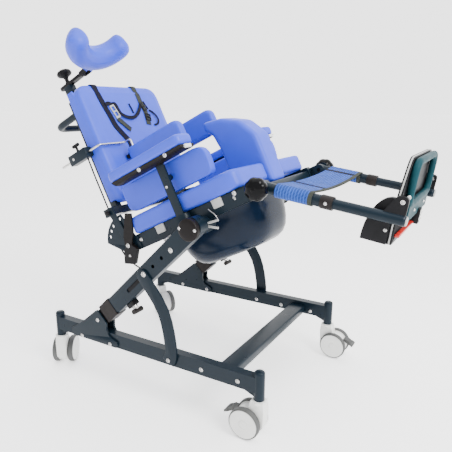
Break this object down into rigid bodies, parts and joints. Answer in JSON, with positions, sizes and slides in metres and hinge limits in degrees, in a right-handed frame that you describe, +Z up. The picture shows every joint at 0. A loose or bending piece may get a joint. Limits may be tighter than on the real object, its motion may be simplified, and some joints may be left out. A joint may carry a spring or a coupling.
{
  "type": "tilting shower commode chair",
  "caption": "Wheeled shower commode chair with tilting seat, reclining back, headrest, trunk pads, armrests, removable pan and raised legrest on a castor base.",
  "frame": {"origin": "on the floor, at the middle of the length and of the width of the chair in its stored pose", "axes": "+X towards the feet, +Y towards the left hand of the user, +Z up"},
  "size_m": [1.4426, 0.6819, 1.2269],
  "materials": {
    "frame_paint": "dark petrol-blue powder coat, satin",
    "foot_paint": "teal powder coat, satin",
    "blue_foam": "blue integral-skin polyurethane foam, soft sheen",
    "pan_plastic": "navy plastic, glossy",
    "castor_plastic": "light grey nylon",
    "tyre_rubber": "mid grey non-marking rubber",
    "black_plastic": "black moulded plastic",
    "bright_steel": "stainless steel",
    "webbing": "dark woven webbing",
    "sling_mesh": "blue spacer mesh",
    "red_plastic": "red plastic"
  },
  "bodies": {
    "base": {"base_cross_bar": "frame_paint", "base_rail_right": "frame_paint", "base_rail_left": "frame_paint", "column_foot_right": "black_plastic", "column_foot_left": "black_plastic", "brace_right": "frame_paint", "brace_left": "frame_paint"},
    "castor_front_right": {"castor_fork_front_right": "castor_plastic"},
    "wheels_front_right": {"castor_wheels_front_right": "tyre_rubber"},
    "castor_front_left": {"castor_fork_front_left": "castor_plastic"},
    "wheels_front_left": {"castor_wheels_front_left": "tyre_rubber"},
    "castor_rear_right": {"castor_fork_rear_right": "castor_plastic"},
    "wheels_rear_right": {"castor_wheels_rear_right": "tyre_rubber"},
    "castor_rear_left": {"castor_fork_rear_left": "castor_plastic"},
    "wheels_rear_left": {"castor_wheels_rear_left": "tyre_rubber"},
    "pedal_front_right": {"brake_pedal_front_right": "tyre_rubber"},
    "pedal_front_left": {"brake_pedal_front_left": "tyre_rubber"},
    "lift": {"column_tube_right": "frame_paint", "column_tube_left": "frame_paint", "pivot_cover_right": "black_plastic", "pivot_cover_left": "black_plastic"},
    "lock_right": {"height_lock_right": "black_plastic"},
    "lock_left": {"height_lock_left": "black_plastic"},
    "seat": {"seat_frame": "frame_paint", "seat_cushion": "blue_foam", "tilt_cable": "black_plastic"},
    "deflector": {"deflector": "blue_foam"},
    "pan": {"commode_pan": "pan_plastic"},
    "armrest_right": {"armrest_frame_right": "frame_paint", "armrest_pad_right": "blue_foam", "side_panel_right": "blue_foam"},
    "armrest_left": {"armrest_frame_left": "frame_paint", "armrest_pad_left": "blue_foam", "side_panel_left": "blue_foam"},
    "backrest": {"backrest_frame": "frame_paint", "backrest_cushion": "blue_foam", "push_handle": "frame_paint", "shoulder_harness": "webbing", "back_cable": "black_plastic"},
    "head_bar": {"headrest_bar": "black_plastic"},
    "head_knob": {"headrest_knob": "black_plastic"},
    "headrest": {"headrest_pad": "blue_foam"},
    "trunk_support_right": {"trunk_rod_right": "bright_steel", "trunk_pad_right": "blue_foam"},
    "trunk_knob_right": {"trunk_knob_right": "black_plastic"},
    "trunk_support_left": {"trunk_rod_left": "bright_steel", "trunk_pad_left": "blue_foam"},
    "trunk_knob_left": {"trunk_knob_left": "black_plastic"},
    "legrest": {"leg_tube_right": "frame_paint", "leg_tube_left": "frame_paint", "calf_sling": "sling_mesh"},
    "knee_knob_right": {"knee_knob_right": "black_plastic"},
    "knee_knob_left": {"knee_knob_left": "black_plastic"},
    "leg_extension": {"lower_leg_tube_right": "frame_paint", "lower_leg_tube_left": "frame_paint"},
    "foot": {"footplate": "black_plastic", "foot_loop": "foot_paint", "release_bar": "red_plastic", "heel_guard_right": "black_plastic", "heel_guard_left": "black_plastic"}
  },
  "joints": [
    {"name": "swivel_front_right", "type": "hinge", "parent": "base", "child": "castor_front_right", "pos_m": [0.35966, -0.3025, 0], "axis": [0, 0, 1], "continuous": true},
    {"name": "roll_front_right", "type": "hinge", "parent": "castor_front_right", "child": "wheels_front_right", "pos_m": [0.32566, -0.3025, 0.05], "axis": [0, 1, 0], "continuous": true},
    {"name": "swivel_front_left", "type": "hinge", "parent": "base", "child": "castor_front_left", "pos_m": [0.35966, 0.3025, 0], "axis": [0, 0, 1], "continuous": true},
    {"name": "roll_front_left", "type": "hinge", "parent": "castor_front_left", "child": "wheels_front_left", "pos_m": [0.39366, 0.3025, 0.05], "axis": [0, -1, 0], "continuous": true},
    {"name": "swivel_rear_right", "type": "hinge", "parent": "base", "child": "castor_rear_right", "pos_m": [-0.47034, -0.3025, 0], "axis": [0, 0, 1], "continuous": true},
    {"name": "roll_rear_right", "type": "hinge", "parent": "castor_rear_right", "child": "wheels_rear_right", "pos_m": [-0.48734, -0.27306, 0.05], "axis": [0.866, 0.5, 0], "continuous": true},
    {"name": "swivel_rear_left", "type": "hinge", "parent": "base", "child": "castor_rear_left", "pos_m": [-0.47034, 0.3025, 0], "axis": [0, 0, 1], "continuous": true},
    {"name": "roll_rear_left", "type": "hinge", "parent": "castor_rear_left", "child": "wheels_rear_left", "pos_m": [-0.44089, 0.2855, 0.05], "axis": [-0.5, -0.866, 0], "continuous": true},
    {"name": "brake_front_right", "type": "hinge", "parent": "castor_front_right", "child": "pedal_front_right", "pos_m": [0.28532, -0.3025, 0.0762], "axis": [0, -1, 0], "range_deg": [0, 12]},
    {"name": "brake_front_left", "type": "hinge", "parent": "castor_front_left", "child": "pedal_front_left", "pos_m": [0.434, 0.3025, 0.0762], "axis": [0, 1, 0], "range_deg": [0, 12]},
    {"name": "height_adjust", "type": "slide", "parent": "base", "child": "lift", "axis": [0.7193, 0, 0.6947], "range_m": [0, 0.085]},
    {"name": "lock_pull_right", "type": "slide", "parent": "lift", "child": "lock_right", "axis": [0.6947, 0, -0.7193], "range_m": [0, 0.01], "stiffness_N_per_m": 600, "springref_m": -0.003},
    {"name": "lock_pull_left", "type": "slide", "parent": "lift", "child": "lock_left", "axis": [0.6947, 0, -0.7193], "range_m": [0, 0.01], "stiffness_N_per_m": 600, "springref_m": -0.003},
    {"name": "seat_tilt", "type": "hinge", "parent": "lift", "child": "seat", "pos_m": [0.13266, 0, 0.615], "axis": [0, -1, 0], "range_deg": [-26.5, 9]},
    {"name": "deflector_lift", "type": "slide", "parent": "seat", "child": "deflector", "axis": [-0.4462, 0, 0.8949], "range_m": [0, 0.08]},
    {"name": "pan_slide", "type": "slide", "parent": "seat", "child": "pan", "axis": [-0.8949, 0, -0.4462], "range_m": [0, 0.25]},
    {"name": "armrest_lift_right", "type": "slide", "parent": "seat", "child": "armrest_right", "axis": [-0.4462, 0, 0.8949], "range_m": [0, 0.04]},
    {"name": "armrest_lift_left", "type": "slide", "parent": "seat", "child": "armrest_left", "axis": [-0.4462, 0, 0.8949], "range_m": [0, 0.04]},
    {"name": "backrest_recline", "type": "hinge", "parent": "seat", "child": "backrest", "pos_m": [-0.15725, 0, 0.50845], "axis": [0, -1, 0], "range_deg": [0, 35]},
    {"name": "head_bar_slide", "type": "slide", "parent": "backrest", "child": "head_bar", "axis": [0.8949, 0, 0.4462], "range_m": [-0.022, 0.022]},
    {"name": "head_knob_turn", "type": "hinge", "parent": "backrest", "child": "head_knob", "pos_m": [-0.66916, 0, 1.0354], "axis": [-0.4462, 0, 0.8949], "continuous": true},
    {"name": "headrest_tilt", "type": "hinge", "parent": "head_bar", "child": "headrest", "pos_m": [-0.58861, 0, 1.08226], "axis": [0, -1, 0], "range_deg": [-20, 20]},
    {"name": "trunk_slide_right", "type": "slide", "parent": "backrest", "child": "trunk_support_right", "axis": [0.8949, 0, 0.4462], "range_m": [0, 0.05]},
    {"name": "trunk_knob_turn_right", "type": "hinge", "parent": "backrest", "child": "trunk_knob_right", "pos_m": [-0.39188, -0.235, 0.80423], "axis": [-0.4462, 0, 0.8949], "continuous": true},
    {"name": "trunk_slide_left", "type": "slide", "parent": "backrest", "child": "trunk_support_left", "axis": [0.8949, 0, 0.4462], "range_m": [0, 0.05]},
    {"name": "trunk_knob_turn_left", "type": "hinge", "parent": "backrest", "child": "trunk_knob_left", "pos_m": [-0.39188, 0.235, 0.80423], "axis": [-0.4462, 0, 0.8949], "continuous": true},
    {"name": "knee", "type": "hinge", "parent": "seat", "child": "legrest", "pos_m": [0.32261, 0, 0.74322], "axis": [0, -1, 0], "range_deg": [-56, 34]},
    {"name": "knee_knob_turn_right", "type": "hinge", "parent": "seat", "child": "knee_knob_right", "pos_m": [0.32261, 0, 0.74322], "axis": [0, 1, 0], "continuous": true},
    {"name": "knee_knob_turn_left", "type": "hinge", "parent": "seat", "child": "knee_knob_left", "pos_m": [0.32261, 0, 0.74322], "axis": [0, 1, 0], "continuous": true},
    {"name": "leg_slide", "type": "slide", "parent": "legrest", "child": "leg_extension", "axis": [0.9914, 0, -0.1305], "range_m": [-0.03, 0.09]},
    {"name": "foot_angle", "type": "hinge", "parent": "leg_extension", "child": "foot", "pos_m": [0.69974, 0, 0.73947], "axis": [0, -1, 0], "range_deg": [-10, 80]}
  ]
}
